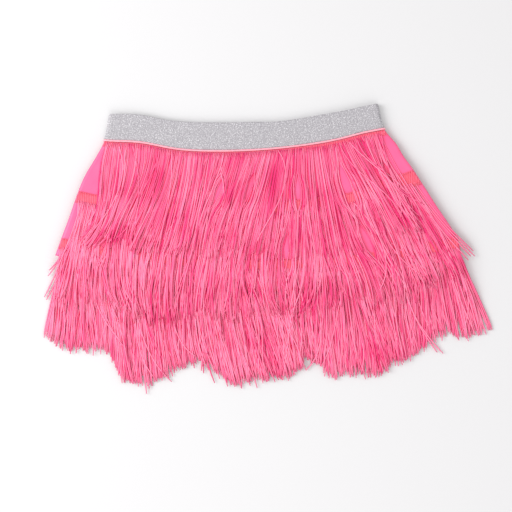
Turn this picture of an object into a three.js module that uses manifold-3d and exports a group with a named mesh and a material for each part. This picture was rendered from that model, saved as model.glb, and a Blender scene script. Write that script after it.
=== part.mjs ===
// A small child's fringe skirt, laid flat on a table with its front up.
// It is a flattened tube: a ring of glitter elastic for the waist, a narrow binding under it,
// a plain front and back, and three rows of fringe round the tube, which lie over one another.
// Each fringe is a woven heading with its strands, gathered here into locks that hang from it.
// Millimetres, +Z up from the table, +X to the garment's left side as it lies, +Y towards the waist.
// Heights along the garment are given as "down", the distance below the waist seam.

import * as THREE from "three";
import { mergeVertices } from "three/addons/utils/BufferGeometryUtils.js";
import Module from "manifold-3d";

const wasm = await Module();
wasm.setup();

// Driving sizes.
const ELASTIC_WIDTH = 25.4;
const ELASTIC_THICKNESS = 1.4;
const CLOTH_THICKNESS = 1.1;
const HEADING_THICKNESS = 0.8;
const BINDING_WIDTH = 1.6;
const BINDING_OUTSET = 0.5;
const PANEL_HEM = 110;
const SEAM_GAP = 0.3;
const LOCK_HEIGHT_FRONT = 1.2;
const LOCK_HEIGHT_BACK = 1.0;
const LOCK_FILL = 0.84; // share of the room between neighbours that a lock takes
const LOCK_WIDEST_FRONT = 5;
const LOCK_WIDEST_BACK = 9;
const LOCK_TIP_SHARE = 0.5;
const LOCK_ROOT_LAP = 2; // how far a lock's root runs up inside its heading
const LOCK_ROOT_LIFT = 0.15;
const LOCK_ROOT_HEIGHT = 0.4;

// Where the middle of the waist seam lies, from the middle of the whole garment.
const WAIST_MIDDLE = new THREE.Vector2(-19.1, 82.4);

// How the flattened tube lies: a row for each level, from the middle of the waist seam.
// The line between the two ends hangs below their chord by sag.
const LEVELS = [
  { down: -26, leftX: -118.5, leftY: 32.3, rightX: 117.5, rightY: 42.0, sag: 10.8 },
  { down: 0, leftX: -123.5, leftY: 9.2, rightX: 124.0, rightY: 19.8, sag: 13.4 },
  { down: 15, leftX: -131.0, leftY: -5.0, rightX: 134.8, rightY: 6.8, sag: 16.2 },
  { down: 30, leftX: -140.0, leftY: -20.0, rightX: 141.0, rightY: -3.8, sag: 18.5 },
  { down: 47, leftX: -146.5, leftY: -35.0, rightX: 150.0, rightY: -16.4, sag: 22.1 },
  { down: 70, leftX: -154.5, leftY: -58.0, rightX: 169.0, rightY: -46.0, sag: 19.0 },
  { down: 94, leftX: -161.5, leftY: -76.6, rightX: 188.0, rightY: -75.7, sag: 20.0 },
  { down: 110, leftX: -167.0, leftY: -92.0, rightX: 192.5, rightY: -94.0, sag: 19.0 },
];

// Soft waves in the lines, as the garment was put down.
const WAVES = [
  { down: -26, x: -95, reach: 28, lift: 2.2, fade: 26 },
  { down: -26, x: 32, reach: 34, lift: -1.6, fade: 26 },
  { down: 0, x: -92, reach: 36, lift: 3.7, fade: 45 },
  { down: 0, x: 106, reach: 26, lift: 1.4, fade: 45 },
  { down: 47, x: 90, reach: 34, lift: -3.0, fade: 30 },
];

// Height of the back's underside over the table: it lies on its own fringe.
const BACK_UNDERSIDE = [
  { down: 0, height: 1.3 },
  { down: 8, height: 1.6 },
  { down: 40, height: 4.0 },
  { down: PANEL_HEM, height: 4.0 },
];
const PILLOW = 0.9; // air between front and back, at the middle of the tube
const WAIST_OPENING = 1.2; // and where the elastic holds them apart
const WAIST_OPENING_FADE = 30;

// Height of what the front's lowest fringe lies on, past the cloth's hem.
const BED_PAST_HEM = [
  { down: PANEL_HEM, height: 6.5 },
  { down: 124, height: 4.6 },
  { down: 150, height: 2.9 },
  { down: 168, height: 1.6 },
  { down: 260, height: 1.6 },
];

const WAISTBAND_HEIGHT = 5.0;
const WAISTBAND_END_PUFF = 0.9;

// The fringe rows. A heading hangs from down = top. In lean, a row is a place on the heading:
// its strands end drift to the side, with a bow half way, and are free below the heading by length.
// In height, the lock's underside lies that far over the front, or over the table at the back.
const FRONT_FRINGES = [
  {
    name: "fringe_front_1", top: 1.3, bottom: 5.5, locks: 50,
    lean: [
      { x: -122, drift: -12, bow: -3, length: 90 },
      { x: -111, drift: -16, bow: 5, length: 92 },
      { x: -98, drift: -20, bow: 6, length: 93 },
      { x: -86, drift: -27, bow: 4, length: 94 },
      { x: -70, drift: -33, bow: 2, length: 94 },
      { x: -57, drift: -24, bow: 2, length: 93 },
      { x: -42, drift: -18, bow: 0, length: 92 },
      { x: -30, drift: -20, bow: 0, length: 92 },
      { x: -14, drift: -26, bow: -2, length: 93 },
      { x: 4, drift: -24, bow: 0, length: 92 },
      { x: 22, drift: -25, bow: 0, length: 92 },
      { x: 34, drift: -19, bow: 0, length: 91 },
      { x: 44, drift: -4, bow: 0, length: 90 },
      { x: 53, drift: 14, bow: 0, length: 91 },
      { x: 64, drift: 31, bow: 0, length: 93 },
      { x: 80, drift: 43, bow: 0, length: 94 },
      { x: 96, drift: 49, bow: -2, length: 95 },
      { x: 110, drift: 55, bow: -3, length: 96 },
      { x: 123, drift: 57, bow: -3, length: 94 },
    ],
    height: [
      { down: 5, over: 0.3 },
      { down: 38, over: 0.3 },
      { down: 45, over: 1.8 },
      { down: 78, over: 1.8 },
      { down: 85, over: 3.3 },
      { down: 130, over: 3.3 },
    ],
  },
  {
    name: "fringe_front_2", top: 47, bottom: 57, locks: 52,
    lean: [
      { x: -149, drift: -24, bow: -4, length: 86 },
      { x: -138, drift: -14, bow: -4, length: 90 },
      { x: -126, drift: -5, bow: -3, length: 92 },
      { x: -112, drift: 0, bow: -2, length: 92 },
      { x: -94, drift: -4, bow: 0, length: 92 },
      { x: -75, drift: -8, bow: 0, length: 93 },
      { x: -58, drift: -5, bow: 0, length: 92 },
      { x: -40, drift: -9, bow: 0, length: 93 },
      { x: -20, drift: -8, bow: 0, length: 93 },
      { x: -2, drift: -11, bow: 0, length: 93 },
      { x: 14, drift: -8, bow: 0, length: 92 },
      { x: 28, drift: -1, bow: 0, length: 91 },
      { x: 44, drift: 2, bow: 0, length: 90 },
      { x: 60, drift: 3, bow: 0, length: 90 },
      { x: 73, drift: 8, bow: 0, length: 90 },
      { x: 84, drift: 19, bow: -2, length: 92 },
      { x: 96, drift: 28, bow: -2, length: 94 },
      { x: 112, drift: 31, bow: 0, length: 94 },
      { x: 128, drift: 33, bow: 0, length: 93 },
      { x: 142, drift: 38, bow: 0, length: 91 },
      { x: 153, drift: 42, bow: 2, length: 86 },
    ],
    height: [
      { down: 57, over: 0.3 },
      { down: 84, over: 0.3 },
      { down: 92, over: 1.8 },
      { down: 110, over: 1.8 },
      { down: 124, over: 1.8 },
      { down: 190, over: 1.8 },
    ],
  },
  {
    name: "fringe_front_3", top: 94, bottom: 104, locks: 56,
    lean: [
      { x: -165, drift: -14, bow: -6, length: 82 },
      { x: -159, drift: -8, bow: -6, length: 87 },
      { x: -151, drift: -1, bow: -6, length: 88 },
      { x: -136, drift: 6, bow: -3, length: 86 },
      { x: -118, drift: 2, bow: 0, length: 97 },
      { x: -103, drift: 2, bow: 0, length: 108 },
      { x: -87, drift: 4, bow: -2, length: 104 },
      { x: -71, drift: 6, bow: -2, length: 91 },
      { x: -58, drift: 9, bow: -3, length: 86 },
      { x: -47, drift: 15, bow: -4, length: 93 },
      { x: -36, drift: 23, bow: -3, length: 105 },
      { x: -9, drift: 19, bow: -2, length: 99 },
      { x: 10, drift: 17, bow: -2, length: 98 },
      { x: 26, drift: 16, bow: -3, length: 93 },
      { x: 49, drift: 8, bow: -2, length: 80 },
      { x: 70, drift: 2, bow: 0, length: 88 },
      { x: 81, drift: 5, bow: 0, length: 96 },
      { x: 87, drift: 12, bow: 0, length: 96 },
      { x: 96, drift: 20, bow: 0, length: 99 },
      { x: 111, drift: 20, bow: 0, length: 94 },
      { x: 128, drift: 10, bow: 2, length: 85 },
      { x: 151, drift: 0, bow: 2, length: 84 },
      { x: 167, drift: -2, bow: 2, length: 76 },
      { x: 174, drift: 6, bow: 2, length: 75 },
      { x: 180, drift: 16, bow: 2, length: 80 },
      { x: 186, drift: 24, bow: 3, length: 80 },
      { x: 191, drift: 28, bow: 4, length: 79 },
    ],
    height: [
      { down: 104, over: 0.3 },
      { down: 110, over: 0.3 },
      { down: 124, over: 0.3 },
      { down: 150, over: 0.3 },
      { down: 168, over: 0.3 },
      { down: 250, over: 0.3 },
    ],
  },
];

const BACK_FRINGES = [
  {
    name: "fringe_back_1", top: 1.3, bottom: 5.5, locks: 28,
    lean: [
      { x: -121, drift: -16, bow: 0, length: 90 },
      { x: 0, drift: 0, bow: 0, length: 91 },
      { x: 122, drift: 22, bow: 0, length: 90 },
    ],
    height: [
      { down: 5.5, over: 0.3 },
      { down: 12, over: 0.3 },
      { down: 50, over: 0.3 },
      { down: 130, over: 0.3 },
    ],
  },
  {
    name: "fringe_back_2", top: 47, bottom: 57, locks: 30,
    lean: [
      { x: -149, drift: -14, bow: 0, length: 88 },
      { x: 0, drift: 0, bow: 0, length: 92 },
      { x: 158, drift: 24, bow: 0, length: 88 },
    ],
    height: [
      { down: 57, over: 3.0 },
      { down: 67, over: 1.6 },
      { down: 99, over: 1.6 },
      { down: 110, over: 0.3 },
      { down: 190, over: 0.3 },
    ],
  },
  {
    name: "fringe_back_3", top: 94, bottom: 104, locks: 32,
    lean: [
      { x: -163, drift: -5, bow: -4, length: 88 },
      { x: -95, drift: 2, bow: 0, length: 100 },
      { x: 0, drift: 6, bow: 0, length: 94 },
      { x: 95, drift: 8, bow: 0, length: 98 },
      { x: 191, drift: 18, bow: 0, length: 82 },
    ],
    height: [
      { down: 104, over: 3.0 },
      { down: 113, over: 1.6 },
      { down: 154, over: 1.6 },
      { down: 166, over: 0.3 },
      { down: 250, over: 0.3 },
    ],
  },
];

// Reads a column of a table at a place along its key column, in straight lines between rows.
function read(table, key, at, column) {
  const last = table.length - 1;
  if (at <= table[0][key]) return table[0][column];
  if (at >= table[last][key]) return table[last][column];
  const i = table.findIndex((row) => row[key] >= at);
  const share = (at - table[i - 1][key]) / (table[i][key] - table[i - 1][key]);
  return THREE.MathUtils.lerp(table[i - 1][column], table[i][column], share);
}

// The same, as a smooth curve through the rows.
function readSmooth(table, key, at, column) {
  const last = table.length - 1;
  const held = THREE.MathUtils.clamp(at, table[0][key], table[last][key]);
  const i = Math.max(1, table.findIndex((row) => row[key] >= held));
  const value = (k) => table[THREE.MathUtils.clamp(k, 0, last)][column];
  const place = (k) => table[THREE.MathUtils.clamp(k, 0, last)][key];
  const slope = (k) => (value(k + 1) - value(k - 1)) / (place(k + 1) - place(k - 1));
  const span = place(i) - place(i - 1);
  const t = (held - place(i - 1)) / span;
  const rise = slope(i - 1) * span;
  const fall = slope(i) * span;
  return (
    value(i - 1) * (1 + 2 * t) * (1 - t) ** 2 +
    rise * t * (1 - t) ** 2 +
    value(i) * t * t * (3 - 2 * t) +
    fall * t * t * (t - 1)
  );
}

const lay = (down, column) => readSmooth(LEVELS, "down", down, column);

// Across the tube at a level: -1 at one side edge and 1 at the other.
function acrossAt(x, down) {
  const leftX = lay(down, "leftX");
  const rightX = lay(down, "rightX");
  return THREE.MathUtils.clamp((2 * x - leftX - rightX) / (rightX - leftX), -1, 1);
}

// The level line's y at an x. Past the cloth's hem the lines go on at even steps.
function lineY(down, x) {
  const held = Math.min(down, PANEL_HEM);
  const across = acrossAt(x, held);
  const chord = THREE.MathUtils.lerp(lay(held, "leftY"), lay(held, "rightY"), (across + 1) / 2);
  let y = chord - lay(held, "sag") * (1 - across * across);
  for (const wave of WAVES) {
    const near = Math.max(0, 1 - Math.abs(held - wave.down) / wave.fade);
    y += wave.lift * near * Math.exp(-(((x - wave.x) / wave.reach) ** 2) * 2);
  }
  return y - Math.max(0, down - PANEL_HEM);
}

function pointAt(across, down) {
  const x = THREE.MathUtils.lerp(lay(down, "leftX"), lay(down, "rightX"), (across + 1) / 2);
  return new THREE.Vector2(x, lineY(down, x));
}

function downAt(x, y) {
  let near = -30;
  let far = 300;
  for (let step = 0; step < 40; step++) {
    const middle = (near + far) / 2;
    if (lineY(middle, x) > y) near = middle;
    else far = middle;
  }
  return (near + far) / 2;
}

// Heights of the cloth's surfaces.
const backUnderside = (down) => read(BACK_UNDERSIDE, "down", down, "height");
const backTop = (down) => backUnderside(down) + CLOTH_THICKNESS;
function frontUnderside(x, down) {
  const across = acrossAt(x, Math.min(down, PANEL_HEM));
  const opening = THREE.MathUtils.smoothstep(down, 0, 40);
  const held = WAIST_OPENING * (1 - THREE.MathUtils.smoothstep(down, 0, WAIST_OPENING_FADE));
  return backTop(down) + SEAM_GAP + held + PILLOW * opening * (1 - across * across);
}
// What the front's fringes lie on: the front itself, then the back's fringe past the hem.
function bedTop(x, down) {
  if (down <= PANEL_HEM) return frontUnderside(x, down) + CLOTH_THICKNESS;
  const atHem = frontUnderside(x, PANEL_HEM) + CLOTH_THICKNESS;
  const level = read(BED_PAST_HEM, "down", down, "height");
  const first = BED_PAST_HEM[0].height;
  const floor = BED_PAST_HEM[BED_PAST_HEM.length - 1].height;
  return floor + (level - floor) * ((atHem - floor) / (first - floor));
}

// A closed body from a list of rings, each with the same number of points. Rings run along the
// body, with their points counter-clockwise as seen from its far end. Joined ends make a loop.
function skin(rings, closedLoop) {
  const perRing = rings[0].length;
  const positions = rings.flat().flatMap((p) => [p.x, p.y, p.z]);
  const faces = [];
  const quads = closedLoop ? rings.length : rings.length - 1;
  for (let i = 0; i < quads; i++)
    for (let k = 0; k < perRing; k++) {
      const a = i * perRing + k;
      const b = i * perRing + ((k + 1) % perRing);
      const c = ((i + 1) % rings.length) * perRing + ((k + 1) % perRing);
      const d = ((i + 1) % rings.length) * perRing + k;
      faces.push(a, b, c, a, c, d);
    }
  if (!closedLoop)
    for (let k = 1; k < perRing - 1; k++) {
      const end = (rings.length - 1) * perRing;
      faces.push(0, k + 1, k);
      faces.push(end, end + k, end + k + 1);
    }
  const geometry = new THREE.BufferGeometry();
  geometry.setAttribute("position", new THREE.Float32BufferAttribute(positions, 3));
  geometry.setIndex(faces);
  return geometry;
}

// A cloth piece between two levels: its sections follow each other from right to left.
function panel(topDown, bottomDown, columns, rows, reach, underside, thickness) {
  const rings = [];
  for (let i = 0; i <= columns; i++) {
    const across = reach * (1 - (2 * i) / columns);
    const ring = [];
    const add = (j, lift) => {
      const down = topDown + ((bottomDown - topDown) * j) / rows;
      const p = pointAt(across, down);
      ring.push(new THREE.Vector3(p.x, p.y, underside(p.x, down) + lift));
    };
    for (let j = 0; j <= rows; j++) add(j, 0);
    for (let j = rows; j >= 0; j--) add(j, thickness);
    rings.push(ring);
  }
  return stripsSkin(rings, rows);
}

// Like skin(), but each end is closed with the strip's own small quads, which a bent strip needs.
function stripsSkin(rings, rows) {
  const perRing = rings[0].length;
  const geometry = skin(rings, false);
  const faces = Array.from(geometry.index.array);
  faces.length -= 6 * (perRing - 2);
  const end = (rings.length - 1) * perRing;
  for (let j = 0; j < rows; j++) {
    const [a, b, c, d] = [j, j + 1, perRing - 2 - j, perRing - 1 - j];
    faces.push(a, c, b, a, d, c);
    faces.push(end + a, end + b, end + c, end + a, end + c, end + d);
  }
  geometry.setIndex(faces);
  return geometry;
}

// A flattened ring round the waist between two levels: elastic or binding, as a wall.
function waistRing(topDown, bottomDown, rows, outset, wall, floor) {
  const flatSteps = 14;
  const foldSteps = 4;
  const rings = [];
  const section = (across, side, turn) => ({ across, side, turn });
  const stations = [];
  for (let i = 0; i <= flatSteps; i++) stations.push(section(-1 + (2 * i) / flatSteps, 0, -1));
  for (let i = 1; i < foldSteps; i++) stations.push(section(1, 1, -1 + (2 * i) / foldSteps));
  for (let i = 0; i <= flatSteps; i++) stations.push(section(1 - (2 * i) / flatSteps, 0, 1));
  for (let i = 1; i < foldSteps; i++) stations.push(section(-1, -1, 1 - (2 * i) / foldSteps));
  for (const { across, side, turn } of stations) {
    const ring = [];
    const add = (j, inset) => {
      const down = topDown + ((bottomDown - topDown) * j) / rows;
      const high = WAISTBAND_HEIGHT + WAISTBAND_END_PUFF * across ** 4 + outset;
      const middle = (high + floor) / 2;
      const half = (high - floor) / 2 - inset;
      const bulge = side * half * Math.cos((turn * Math.PI) / 2);
      const halfWidth = (lay(down, "rightX") - lay(down, "leftX")) / 2;
      const p = pointAt(across * 0.985 + bulge / halfWidth, down);
      const z = middle + half * (side ? Math.sin((turn * Math.PI) / 2) : turn);
      ring.push(new THREE.Vector3(p.x, p.y, z));
    };
    for (let j = 0; j <= rows; j++) add(j, wall);
    for (let j = rows; j >= 0; j--) add(j, 0);
    rings.push(ring);
  }
  return skin(rings, true);
}

// A strand's line from its heading, seen from above.
function lockLine(fringe, x, t) {
  const start = fringe.bottom - LOCK_ROOT_LAP;
  const drift = read(fringe.lean, "x", x, "drift");
  const bow = read(fringe.lean, "x", x, "bow");
  const length = read(fringe.lean, "x", x, "length");
  const drop = Math.sqrt(length * length - drift * drift);
  return new THREE.Vector2(
    x + drift * t + bow * 4 * t * (1 - t),
    lineY(start, x) - (drop + LOCK_ROOT_LAP) * t,
  );
}

// One lock: a three-sided body, flat below and ridged above, that lies at the fringe's heights.
function lock(fringe, x, pitch, undersideAt, lockHeight, widest) {
  const line = (t) => lockLine(fringe, x, t);
  const tAtDown = (down) => {
    let near = 0;
    let far = 1;
    for (let step = 0; step < 30; step++) {
      const middle = (near + far) / 2;
      const p = line(middle);
      if (downAt(p.x, p.y) < down) near = middle;
      else far = middle;
    }
    return far;
  };
  const tip = line(1);
  const tipDown = downAt(tip.x, tip.y);
  const knots = fringe.height.map((row) => row.down).filter((down) => {
    return down > fringe.bottom + 1 && down < tipDown - 3;
  });
  const stops = [0, ...knots.map(tAtDown), 1];
  const rings = stops.map((t) => {
    const p = line(t);
    const ahead = line(Math.min(1, t + 0.01)).sub(line(Math.max(0, t - 0.01))).normalize();
    const side = new THREE.Vector2(-ahead.y, ahead.x);
    const neighbours = lockLine(fringe, x + pitch / 2, t).sub(lockLine(fringe, x - pitch / 2, t));
    const width = Math.min(Math.abs(neighbours.dot(side)) * LOCK_FILL, widest);
    const half = (width / 2) * (t < 1 ? 1 : LOCK_TIP_SHARE);
    const rise = t > 0 ? 0 : LOCK_ROOT_LIFT;
    const corner = (shift, lift) => {
      const q = p.clone().addScaledVector(side, shift);
      return new THREE.Vector3(q.x, q.y, undersideAt(q.x, downAt(q.x, q.y)) + rise + lift);
    };
    const ridge = t > 0 ? lockHeight * (t < 1 ? 1 : LOCK_TIP_SHARE) : LOCK_ROOT_HEIGHT;
    return [corner(half, 0), corner(0, ridge), corner(-half, 0)];
  });
  return skin(rings, false);
}

function solid(geometry) {
  const merged = mergeVertices(geometry, 1e-4);
  return new wasm.Manifold(
    new wasm.Mesh({
      numProp: 3,
      vertProperties: merged.attributes.position.array,
      triVerts: new Uint32Array(merged.index.array),
    }),
  );
}

function geometryOf(manifold) {
  const mesh = manifold.getMesh();
  const geometry = new THREE.BufferGeometry();
  const positions = new Float32Array(mesh.numVert * 3);
  for (let i = 0; i < mesh.numVert; i++)
    positions.set(mesh.vertProperties.subarray(i * mesh.numProp, i * mesh.numProp + 3), i * 3);
  geometry.setAttribute("position", new THREE.BufferAttribute(positions, 3));
  geometry.setIndex(new THREE.BufferAttribute(mesh.triVerts, 1));
  return geometry;
}

// A heading with its locks, joined into one body.
function fringeGeometry(fringe, headingUnderside, lockUnderside, lockHeight, widest) {
  const columns = 22;
  const reach = 0.995;
  const heading = panel(
    fringe.top, fringe.bottom, columns, 1, reach, headingUnderside, HEADING_THICKNESS,
  );
  const first = pointAt(-reach, fringe.bottom).x;
  const last = pointAt(reach, fringe.bottom).x;
  const pitch = (last - first) / fringe.locks;
  const bodies = [solid(heading)];
  for (let i = 0; i < fringe.locks; i++) {
    const x = first + pitch * (i + 0.5);
    bodies.push(solid(lock(fringe, x, pitch, lockUnderside, lockHeight, widest)));
  }
  return geometryOf(wasm.Manifold.union(bodies));
}

const finish = (color, roughness, metalness) =>
  new THREE.MeshStandardMaterial({ color, roughness, metalness });
const silverElastic = finish(0xc3bfc4, 0.5, 0.6);
const paleBinding = finish(0xf7b3bd, 0.6, 0);
const hotPinkCloth = finish(0xff62a0, 0.6, 0);
const pinkFringe = finish(0xfb6f95, 0.7, 0);

const skirt = new THREE.Group();
skirt.position.set(WAIST_MIDDLE.x, WAIST_MIDDLE.y, 0);

function piece(name, geometry, material) {
  const mesh = new THREE.Mesh(geometry, material);
  mesh.name = name;
  skirt.add(mesh);
}

const bindingTop = -BINDING_WIDTH / 2;
const elasticBottom = bindingTop - SEAM_GAP;
const clothTop = BINDING_WIDTH / 2 + SEAM_GAP;
piece(
  "waistband",
  waistRing(elasticBottom - ELASTIC_WIDTH, elasticBottom, 3, 0, ELASTIC_THICKNESS, 0),
  silverElastic,
);
piece(
  "waist_binding",
  waistRing(bindingTop, -bindingTop, 1, BINDING_OUTSET, ELASTIC_THICKNESS, 0.1),
  paleBinding,
);
piece(
  "skirt_back",
  panel(clothTop, PANEL_HEM, 18, 8, 1, (x, down) => backUnderside(down), CLOTH_THICKNESS),
  hotPinkCloth,
);
piece(
  "skirt_front",
  panel(clothTop, PANEL_HEM, 18, 8, 1, frontUnderside, CLOTH_THICKNESS),
  hotPinkCloth,
);
for (const fringe of FRONT_FRINGES) {
  const overFront = (x, down) => bedTop(x, down) + read(fringe.height, "down", down, "over");
  const headingUnderside = (x, down) => bedTop(x, down) + SEAM_GAP;
  piece(
    fringe.name,
    fringeGeometry(fringe, headingUnderside, overFront, LOCK_HEIGHT_FRONT, LOCK_WIDEST_FRONT),
    pinkFringe,
  );
}
for (const fringe of BACK_FRINGES) {
  const overTable = (x, down) => read(fringe.height, "down", down, "over");
  const headingUnderside = (x, down) => backUnderside(down) - SEAM_GAP - HEADING_THICKNESS;
  piece(
    fringe.name,
    fringeGeometry(fringe, headingUnderside, overTable, LOCK_HEIGHT_BACK, LOCK_WIDEST_BACK),
    pinkFringe,
  );
}

export default skirt;
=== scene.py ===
"""Child's fringe skirt laid flat: a Blender add-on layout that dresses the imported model.

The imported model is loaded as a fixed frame. Each operator makes one piece, or a group of like
pieces, in metres in the model's own frame, and main() calls them in order.
"""

import math

import bmesh
import bpy
import numpy as np
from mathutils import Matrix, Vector


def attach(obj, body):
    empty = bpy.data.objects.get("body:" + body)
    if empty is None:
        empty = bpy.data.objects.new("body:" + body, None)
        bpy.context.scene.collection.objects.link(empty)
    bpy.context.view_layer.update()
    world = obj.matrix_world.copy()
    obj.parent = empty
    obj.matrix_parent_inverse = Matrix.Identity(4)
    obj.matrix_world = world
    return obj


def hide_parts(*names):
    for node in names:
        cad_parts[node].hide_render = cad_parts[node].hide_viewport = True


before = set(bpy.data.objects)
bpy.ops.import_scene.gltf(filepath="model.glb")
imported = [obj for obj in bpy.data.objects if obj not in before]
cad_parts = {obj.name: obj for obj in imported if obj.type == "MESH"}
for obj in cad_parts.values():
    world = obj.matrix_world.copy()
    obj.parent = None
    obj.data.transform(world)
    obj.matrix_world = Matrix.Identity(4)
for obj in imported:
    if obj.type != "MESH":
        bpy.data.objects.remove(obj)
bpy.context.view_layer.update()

bl_info = {
    "name": "Fringe skirt",
    "version": (1, 0, 0),
    "blender": (4, 5, 0),
    "location": "View3D > Sidebar > Skirt",
    "description": "Builds a small child's fringe skirt, laid flat, on its packed model",
    "category": "Object",
}

MM = 0.001
SEAM_GAP = 0.3
CLOTH_THICKNESS = 1.1
PANEL_HEM = 110.0

# Where the middle of the waist seam lies, from the middle of the whole skirt, in mm.
WAIST_MIDDLE = (-19.1, 82.4)

# How the flattened tube lies. Each row is a level below the waist seam, with the two ends of its
# line and how far the line hangs below their chord: down, left x, left y, right x, right y, sag.
LEVELS = np.array([
    (-26, -118.5, 32.3, 117.5, 42.0, 10.8),
    (0, -123.5, 9.2, 124.0, 19.8, 13.4),
    (15, -131.0, -5.0, 134.8, 6.8, 16.2),
    (30, -140.0, -20.0, 141.0, -3.8, 18.5),
    (47, -146.5, -35.0, 150.0, -16.4, 22.1),
    (70, -154.5, -58.0, 169.0, -46.0, 19.0),
    (94, -161.5, -76.6, 188.0, -75.7, 20.0),
    (110, -167.0, -92.0, 192.5, -94.0, 19.0),
])
LEFT_X, LEFT_Y, RIGHT_X, RIGHT_Y, SAG = 1, 2, 3, 4, 5

# Soft waves in the lines: down, x, reach, lift, fade.
WAVES = (
    (-26, -95, 28, 2.2, 26), (-26, 32, 34, -1.6, 26), (0, -92, 36, 3.7, 45),
    (0, 106, 26, 1.4, 45), (47, 90, 34, -3.0, 30),
)

# Height of the back's underside over the table: down, height.
BACK_UNDERSIDE = np.array([(0, 1.3), (8, 1.6), (40, 4.0), (110, 4.0)])
PILLOW = 0.9
WAIST_OPENING = 1.2
WAIST_OPENING_FADE = 30.0

# Height of what the lowest fringe falls over past the cloth's hem: down, height.
BED_PAST_HEM = np.array([(110, 6.5), (116, 4.4), (126, 2.6), (140, 1.6), (260, 1.6)])

# Height at which the lowest back strands pass beneath the front ones: down, height.
BACK_BED = np.array([(96, 0), (106, 2.2), (112, 3.4), (124, 2.6), (140, 1.2), (156, 0)])

# Where the lowest fringe ends: x, y.
HEM = np.array([
    (-177, -163), (-170, -171), (-161, -175), (-146, -177), (-128, -174), (-119, -181),
    (-107, -203), (-96, -206), (-84, -207), (-79, -204), (-70, -198), (-62, -193), (-48, -188),
    (-38, -187), (-28, -194), (-20, -200), (-12, -206), (-6, -207), (6, -203), (20, -203),
    (34, -200), (44, -197), (50, -191), (57, -184), (64, -188), (71, -192), (79, -201),
    (92, -197), (100, -199), (115, -199), (126, -195), (134, -184), (142, -185), (156, -178),
    (163, -169), (176, -163), (184, -161), (192, -168), (199, -165), (208, -162), (215, -158),
])

# How the strands of each front fringe fall: x of the root, then the lean from straight down in
# degrees, right positive, for the upper, middle and lower third of the strand.
UPPER_FALL = np.array([
    (-124, -13, -6, -30), (-108, -5, -11, -28), (-95, -5, -19, -22), (-82, -11, -22, -18),
    (-69, -13, -21, -19), (-56, -9, -16, -21), (-43, -6, -11, -13), (-30, -13, -13, -13),
    (-17, -17, -20, -11), (-4, -15, -19, -5), (9, -14, -15, -14), (22, -13, -16, -16),
    (33, -9, -11, -12), (44, -4, -4, -4), (56, 3, 4, 5), (68, 8, 11, 12), (82, 12, 17, 22),
    (87, 23, 26, 27), (95, 26, 31, 31), (105, 24, 31, 33), (113, 19, 28, 36), (120, 15, 25, 36),
])
MIDDLE_FALL = np.array([
    (-150, -5, -16, -34), (-145, -7, -16, -20), (-139, -13, -14, -11), (-128, -14, -12, 2),
    (-118, -12, -10, 9), (-103, -9, -4, 7), (-88, -11, -6, 5), (-73, -12, -10, 4), (-58, -9, -6, 3),
    (-43, -8, -10, 0), (-28, -2, -7, -3), (-13, -8, -9, -5), (2, -13, -12, 0),
    (17, -12, -11, 2), (32, -6, -3, 6), (47, 5, 3, 0), (62, 7, 5, -3), (72, 10, 12, 12),
    (80, 15, 22, 26), (92, 19, 25, 18), (107, 20, 24, 15), (122, 20, 22, 20),
    (134, 27, 27, 22), (142, 30, 30, 24), (148, 33, 33, 26),
])
LOWER_FALL = np.array([
    (-164, -15, -16, -1), (-156, -11, -10, 6), (-147, -5, -1, 10), (-130, 1, 2, 10),
    (-113, 1, 2, 2), (-96, 4, 6, 5), (-79, 5, 6, 8), (-62, 2, 6, 14), (-45, 0, 6, 22),
    (-28, 2, 10, 22), (-11, 8, 14, 18), (6, 6, 12, 17), (23, 7, 12, 13), (40, 5, 9, 5),
    (57, 2, 4, -3), (72, 2, 4, 0), (84, 4, 8, 4), (96, 10, 16, 18), (108, 12, 16, 22),
    (125, 7, 9, 14), (142, 4, 2, 2), (155, 4, 0, -2), (166, 8, 4, -2), (174, 16, 12, 8),
    (184, 24, 18, 9), (192, 27, 20, 6),
])
BACK_UPPER_FALL = np.array([(-124, -9, -10, -8), (0, 0, 0, 0), (123, 12, 14, 12)])
BACK_MIDDLE_FALL = np.array([(-149, -9, -9, -8), (0, 0, 0, 0), (158, 14, 16, 14)])
BACK_LOWER_FALL = np.array([
    (-164, -13, -13, 2), (-60, 1, 6, 14), (60, 3, 5, 1), (142, 6, 6, 6), (192, 25, 19, 6),
])


def metres(name, description, default):
    return bpy.props.FloatProperty(
        name=name, description=description, default=default, unit="LENGTH")


def paint(name, description, default):
    return bpy.props.StringProperty(name=name, description=description, default=default)


class SkirtSizes(bpy.types.PropertyGroup):
    elastic_width: metres("Elastic width", "Width of the waist elastic", 0.0254)
    elastic_thickness: metres("Elastic thickness", "Thickness of one layer of the elastic", 0.0014)
    waist_height: metres("Waist height", "Height of the flattened waistband over the table", 0.005)
    waist_end_puff: metres(
        "Waist end puff", "How much higher the folds at the two ends are", 0.0009)
    binding_width: metres("Binding width", "Width of the rolled edge under the elastic", 0.0016)
    heading_thickness: metres("Heading thickness", "Thickness of a fringe's woven heading", 0.0008)
    strand_width: metres("Strand width", "Width of one fringe strand as it lies", 0.0013)
    strand_height: metres("Strand height", "Height of one fringe strand as it lies", 0.0011)
    fringe_length: metres("Fringe length", "Free length of a strand below its heading", 0.093)
    front_pitch: metres("Front pitch", "Distance between strands of a front fringe", 0.0005)
    back_pitch: metres("Back pitch", "Distance between strands of a back fringe", 0.001)


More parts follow.
